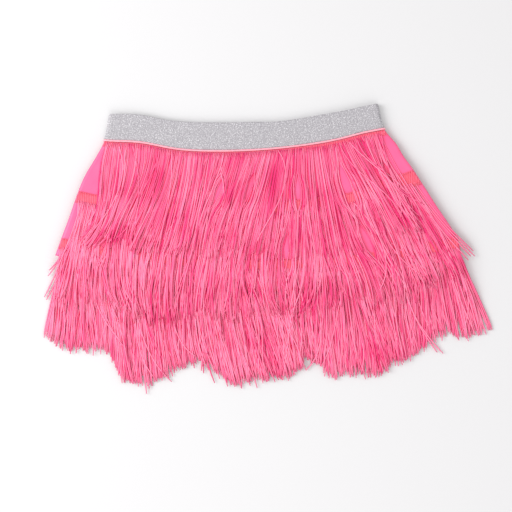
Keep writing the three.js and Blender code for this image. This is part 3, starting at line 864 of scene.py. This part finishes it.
# Painted light: how much lighter the strands are, tier by tier from the top, where the lower tiers
# catch more light, and at the left end, towards the key light.
PAINTED_LIGHT_BY_TIER = (0.0, 0.12, 0.2)
PAINTED_LIGHT_LEFT = 0.22


def front_heading_z(x, down):
    return bed_top(x, down) + SEAM_GAP


def back_heading_z(x, down):
    return back_underside(down) - SEAM_GAP - 0.8 + 0 * x


class SKIRT_OT_waistband(bpy.types.Operator):
    """Makes the flattened ring of glitter elastic and its rolled binding"""

    bl_idname = "skirt.waistband"
    bl_label = "Waistband and binding"

    FLAT_STEPS = 120
    FOLD_STEPS = 10
    # Share of a level that lies flat between the two folds.
    FLAT_SHARE = 0.985
    # Radius and depth of the profile that is spun, before it is laid flat.
    SPUN_RADIUS, SPUN_DEPTH = 2.0, 0.5
    # How far the elastic's lower edge comes down into the gap over the binding.
    TUCK = 0.25
    # Width of the waist as it lies flat, in metres.
    WAIST_FLAT = 0.247

    def ring(self, name, top, bottom, rows, outset, wall, floor, roll):
        """Spins a small closed profile into a ring, and lays the ring flat on the skirt's lines.
        The profile's radius stands for how far in a point is, and its height for the level."""
        sizes = bpy.context.scene.skirt_sizes
        high_mm, puff = sizes.waist_height / MM, sizes.waist_end_puff / MM
        steps = 2 * (self.FLAT_STEPS + self.FOLD_STEPS)
        bm = bmesh.new()
        outline = [(0.0, j / rows) for j in range(rows + 1)]
        outline += [(1.0, j / rows) for j in range(rows, -1, -1)]
        verts = [bm.verts.new((self.SPUN_RADIUS - inset * self.SPUN_DEPTH, 0.0, level))
                 for inset, level in outline]
        edges = [bm.edges.new((a, b)) for a, b in zip(verts, verts[1:] + verts[:1])]
        bmesh.ops.spin(bm, geom=verts + edges, cent=(0, 0, 0), axis=(0, 0, 1),
                       angle=2 * math.pi, steps=steps, use_merge=True)
        co = np.array([v.co[:] for v in bm.verts])
        turn = np.arctan2(co[:, 1], co[:, 0]) % (2 * math.pi)
        station = np.round(turn / (2 * math.pi) * steps).astype(int) % steps
        inset = (self.SPUN_RADIUS - np.hypot(co[:, 0], co[:, 1])) / self.SPUN_DEPTH
        level = np.clip(co[:, 2], 0, 1)
        half_lap = self.FLAT_STEPS + self.FOLD_STEPS
        lap, within = station // half_lap, station % half_lap
        fold = np.clip((within - self.FLAT_STEPS) / self.FOLD_STEPS, 0, 1)
        direction = np.where(lap == 0, 1.0, -1.0)
        across = direction * (-1 + 2 * np.minimum(within, self.FLAT_STEPS) / self.FLAT_STEPS)
        swing = np.sin(fold * math.pi)
        lift = -direction * np.cos(fold * math.pi)
        down = top + (bottom - top) * level
        bulge_out = roll * np.sin(level * math.pi)
        high = high_mm + puff * across**4 + outset
        half = (high - floor) / 2 - inset * (wall + bulge_out)
        half = half + (lift > 0) * (1 - inset) * bulge_out
        left, right = ends_at(down)
        spot = across * self.FLAT_SHARE + direction * swing * half / ((right - left) / 2)
        x = left + (right - left) * (spot + 1) / 2
        y = line_y(down, x)
        z = (high + floor) / 2 + half * lift
        ripple = 0.18 * np.sin(x * 0.055 + 1.0) * (lift > 0.9) * (1 + across) * (1 - across)
        z = z + ripple * level * 0.5
        for vert, point in zip(bm.verts, place(x, y, z)):
            vert.co = point
        bmesh.ops.recalc_face_normals(bm, faces=bm.faces[:])
        return object_from_bmesh(name, bm)

    def execute(self, context):
        sizes, colours = context.scene.skirt_sizes, context.scene.skirt_colours
        wall = sizes.elastic_thickness / MM
        half_binding = sizes.binding_width / MM / 2
        top = -half_binding - SEAM_GAP - sizes.elastic_width / MM
        bottom = -half_binding - SEAM_GAP + self.TUCK
        band = self.ring("elastic_waistband", top, bottom, rows=16, outset=0.0, wall=wall,
                         floor=0.0, roll=0.0)
        finish_piece(band, elastic_material(colours), ["waistband"])
        binding = self.ring("rolled_binding", -half_binding, half_binding, rows=8, outset=0.4,
                            wall=wall, floor=0.1, roll=0.35)
        finish_piece(binding, thread_material("rolled_edge", colours.binding),
                     ["waist_binding"])
        return {"FINISHED"}


class SKIRT_OT_panels(bpy.types.Operator):
    """Makes the plain front and back of stretch jersey, laid on one another"""

    bl_idname = "skirt.panels"
    bl_label = "Front and back"

    COLUMNS = 120
    ROWS = 60
    # A panel's cut: the sides of the rectangle round it, in metres, and its own area.
    FLAT = (0.36, 0.109)
    AREA = 0.0325

    def execute(self, context):
        sizes, colours = context.scene.skirt_sizes, context.scene.skirt_colours
        top = sizes.binding_width / MM / 2 + SEAM_GAP
        material = jersey_material(colours)

        def creases(x, down):
            soft = 0.35 * np.sin(x * 0.11 + down * 0.09) * np.sin(x * 0.037 - down * 0.05 + 1.3)
            return soft * smoothstep(down, 2, 20) * (1 - smoothstep(down, 90, 110))

        def front(x, down):
            return front_underside(x, down) + 0.5 * np.abs(creases(x, down))

        def back(x, down):
            return back_underside(down) + 0 * x

        for side, height_at, under in (
            ("front", front, "jersey_back"), ("back", back, "strands_back_3"),
        ):
            obj = grid_shell(f"jersey_{side}", self.COLUMNS, self.ROWS, top, PANEL_HEM, 1.0,
                             height_at, CLOTH_THICKNESS)
            finish_piece(obj, material, [f"skirt_{side}"])
        return {"FINISHED"}


class SKIRT_OT_fringes(bpy.types.Operator):
    """Makes each fringe: its woven heading, rows of stitches on each front one, and all its strands
    """

    bl_idname = "skirt.fringes"
    bl_label = "Fringes"

    # A heading has four columns or more to each of its ribs.
    HEADING_COLUMNS = 820
    HEADING_ROWS = 4
    HEADING_REACH = 0.995
    HEADING_WALL = 0.62
    RIB_RISE = 0.22
    # Width and height of a stitch's thread, in mm.
    THREAD = (0.55, 0.45)
    STITCH_PITCH = 2.6
    STITCH_LENGTH = 1.9
    STITCH_POINTS = 5
    # How each side's fringes are made: where headings lie, how far up a heading's thickness its
    # strands start, the pitch and its share for the lowest fringe, and how far up that one ends.
    FRONT = dict(height_at=front_heading_z, root_share=0.6, pitch="front_pitch", hem_pitch=0.84,
                 hem_rise=0.0, stitched=True)
    BACK = dict(height_at=back_heading_z, root_share=0.5, pitch="back_pitch", hem_pitch=0.45,
                hem_rise=4.0, stitched=False)
    # Ceiling of strands that have no cloth above them, in mm.
    OPEN_ABOVE = 60.0

    def heading(self, name, top, bottom, height_at, colours):
        def ribbed(x, down):
            rib = 0.5 + 0.5 * np.cos(x / HEADING_RIB * 2 * math.pi)
            return height_at(x, down) + self.RIB_RISE * rib

        obj = grid_shell(name, self.HEADING_COLUMNS, self.HEADING_ROWS, top, bottom,
                         self.HEADING_REACH, ribbed, self.HEADING_WALL)
        material = shared_material("woven_coral_heading", lambda: heading_material(colours))
        return finish_piece(obj, material)

    def stitches(self, name, rows, height_at, above, colours):
        """A running stitch along each of the given levels, as one mesh."""
        lines = []
        for down in rows:
            ends = point_at(np.array([-0.99, 0.99]), np.array([down, down]))[0]
            for x in np.arange(ends[0], ends[1], self.STITCH_PITCH):
                t = np.linspace(0, 1, self.STITCH_POINTS)
                level = np.full(self.STITCH_POINTS, down)
                sx = x + self.STITCH_LENGTH * t
                sy = line_y(level, sx)
                sz = height_at(sx, level) + above * (0.75 + 0.5 * np.sin(t * math.pi))
                lines.append(np.stack([sx, sy, sz], -1))
        lines = np.stack(lines)
        obj = tubes(name, lines, np.full(len(lines), 0.5), *self.THREAD)
        material = shared_material(
            "sewing_thread", lambda: thread_material("sewing_thread", colours.stitch))
        return finish_piece(obj, material)

    def strands(self, name, paths, order, pile, root_z, ceiling, rng, sizes, colours):
        half_width, half_height = sizes.strand_width / MM / 2, sizes.strand_height / MM / 2
        lines = np.zeros((*paths.shape[:2], 3))
        lines[..., :2] = paths
        jitter = (np.arange(len(paths)) % 3 - 1) * ROOT_JITTER
        for i in order:
            lines[i, :, 2] = pile.lay(paths[i], root_z[i] + jitter[i], half_width, half_height,
                                      ceiling)
        # Painted light: the lower tiers and the left end are made lighter.
        shades = strand_shades(rng, len(paths)) + PAINTED_LIGHT_BY_TIER[int(name[-1]) - 1]
        shades = shades + PAINTED_LIGHT_LEFT * (1 - smoothstep(paths[:, 0, 0], -150, -80))
        obj = tubes(name, lines, shades, half_width * 2, half_height * 2)
        material = shared_material("rayon_fringe_strand", lambda: strand_material(colours))
        return finish_piece(obj, material, [name.replace("strands", "fringe")])

    def fringe(self, row, seed, pile, ceiling, context, height_at, root_share, pitch, hem_pitch,
               hem_rise, stitched):
        """Makes one fringe, whose strands lie on the pile and stay under the ceiling."""
        name, top, bottom, leave, fall, loose, hemmed = row
        sizes, colours = context.scene.skirt_sizes, context.scene.skirt_colours
        thick = sizes.heading_thickness / MM
        rng = np.random.default_rng(seed)
        apart = getattr(sizes, pitch) / MM * (hem_pitch if hemmed else 1.0)
        hem = HEM + np.array([0, hem_rise]) if hemmed else None
        paths = grow(rng, fall, leave, apart, sizes.fringe_length / MM, loose, hem)
        paths, strays = part(paths, name), stray_paths(name, leave)
        order = [*rng.permutation(len(paths)), *range(len(paths), len(paths) + len(strays))]
        paths = np.concatenate([paths, strays])
        root_z = height_at(paths[:, 0, 0], np.full(len(paths), bottom)) + thick * root_share
        self.heading(name.replace("fringe", "heading"), top, bottom, height_at, colours)
        if stitched:
            self.stitches(name.replace("fringe", "stitches"), (top + 0.9, bottom - 1.2),
                          height_at, thick, colours)
        self.strands(name.replace("fringe", "strands"), paths, order, pile, root_z, ceiling, rng,
                     sizes, colours)

    def execute(self, context):
        thick = context.scene.skirt_sizes.heading_thickness / MM
        xs, ys = Pile.grid()
        downs = down_at(xs, ys)
        low = Pile(read(BACK_BED, downs, 1))

        def under_back(x, y):
            down = down_at(x, y)
            inside = np.abs(across_at(x, down)) < 0.999
            roof = back_underside(down) - 0.15
            return np.where((down < PANEL_HEM) & inside, roof, self.OPEN_ABOVE)

        for seed, row in enumerate(BACK_FRINGES):
            self.fringe(row, 300 + seed, low, under_back, context, **self.BACK)

        bed = bed_top(xs, downs)
        left, right = ends_at(np.minimum(downs, PANEL_HEM))
        outside = np.maximum(0, np.maximum(xs - right, left - xs))
        on_floor = bed + (1.0 - bed) * smoothstep(outside, 0, 16)
        high = Pile(np.maximum(on_floor, low.heights))
        for _, top, bottom, *_ in FRONT_FRINGES:
            on_heading = (downs > top) & (downs < bottom) & (outside <= 0)
            lift = np.where(on_heading, SEAM_GAP + thick, 0)
            high.heights = np.maximum(high.heights, (bed + lift) * (lift > 0))
        for seed, row in enumerate(FRONT_FRINGES):
            self.fringe(row, 100 + seed, high, None, context, **self.FRONT)
        return {"FINISHED"}


class SKIRT_OT_stage(bpy.types.Operator):
    """Makes the table top, the soft lights and the camera straight above"""

    bl_idname = "skirt.stage"
    bl_label = "Table, lights and camera"

    # Scale of the picture, its side, and where the middle of the waist seam is in it.
    MM_PER_PIXEL = 0.885
    FRAME_PIXELS = 512
    PHOTO_WAIST = (244.0, 151.5)
    LENS = 85.0
    SENSOR = 36.0
    TABLE_SIZE = 2.0
    WORLD_STRENGTH = 0.92
    # Soft lights: name, place in metres, size in metres, power in watts.
    LIGHTS = (
        ("key_softbox", (-1.2, 0.15, 0.9), 1.0, 16.0),
        ("fill_softbox", (0.0, -1.0, 1.3), 1.2, 4.0),
    )

    def execute(self, context):
        scene, colours = context.scene, context.scene.skirt_colours
        bm = bmesh.new()
        bmesh.ops.create_grid(bm, x_segments=1, y_segments=1, size=self.TABLE_SIZE)
        floor = object_from_bmesh("table_top", bm)
        floor.location.z = -0.0002
        floor.data.materials.append(floor_material(colours))

        world = bpy.data.worlds.new("studio") if scene.world is None else scene.world
        scene.world = world
        world.use_nodes = True
        world.node_tree.nodes["Background"].inputs["Color"].default_value = (1, 1, 1, 1)
        world.node_tree.nodes["Background"].inputs["Strength"].default_value = self.WORLD_STRENGTH
        for name, place_at, size, power in self.LIGHTS:
            light = bpy.data.lights.new(name, "AREA")
            light.shape = "DISK"
            light.size = size
            light.energy = power
            obj = bpy.data.objects.new(name, light)
            obj.location = place_at
            aim = Vector((0, 0, 0)) - Vector(place_at)
            obj.rotation_euler = aim.to_track_quat("-Z", "Y").to_euler()
            scene.collection.objects.link(obj)

        camera = bpy.data.cameras.new("camera")
        camera.lens = self.LENS
        camera.sensor_width = self.SENSOR
        camera.dof.use_dof = False
        obj = bpy.data.objects.new("camera", camera)
        half = self.FRAME_PIXELS / 2
        x = (half - self.PHOTO_WAIST[0]) * self.MM_PER_PIXEL + WAIST_MIDDLE[0]
        y = (self.PHOTO_WAIST[1] - half) * self.MM_PER_PIXEL + WAIST_MIDDLE[1]
        view_width = self.FRAME_PIXELS * self.MM_PER_PIXEL
        distance = view_width * self.LENS / self.SENSOR
        obj.location = (x * MM, y * MM, (distance + 6) * MM)
        scene.collection.objects.link(obj)
        scene.camera = obj
        scene.view_settings.view_transform = "Standard"
        scene.cycles.max_bounces = 16
        scene.cycles.diffuse_bounces = 12
        return {"FINISHED"}


class SKIRT_PT_sidebar(bpy.types.Panel):
    bl_label = "Fringe skirt"
    bl_idname = "SKIRT_PT_sidebar"
    bl_space_type = "VIEW_3D"
    bl_region_type = "UI"
    bl_category = "Skirt"

    def draw(self, context):
        for operator in OPERATORS:
            self.layout.operator(operator.bl_idname)


OPERATORS = (SKIRT_OT_waistband, SKIRT_OT_fringes, SKIRT_OT_panels, SKIRT_OT_stage)
CLASSES = (SkirtSizes, SkirtColours, *OPERATORS, SKIRT_PT_sidebar)


def register():
    for cls in CLASSES:
        bpy.utils.register_class(cls)
    bpy.types.Scene.skirt_sizes = bpy.props.PointerProperty(type=SkirtSizes)
    bpy.types.Scene.skirt_colours = bpy.props.PointerProperty(type=SkirtColours)


def unregister():
    del bpy.types.Scene.skirt_colours
    del bpy.types.Scene.skirt_sizes
    for cls in reversed(CLASSES):
        bpy.utils.unregister_class(cls)


def main():
    register()
    for operator in OPERATORS:
        group, name = operator.bl_idname.split(".")
        done = getattr(getattr(bpy.ops, group), name)()
        if "FINISHED" not in done:
            raise RuntimeError(f"{operator.bl_label} could not be made")


if __name__ == "__main__":
    main()
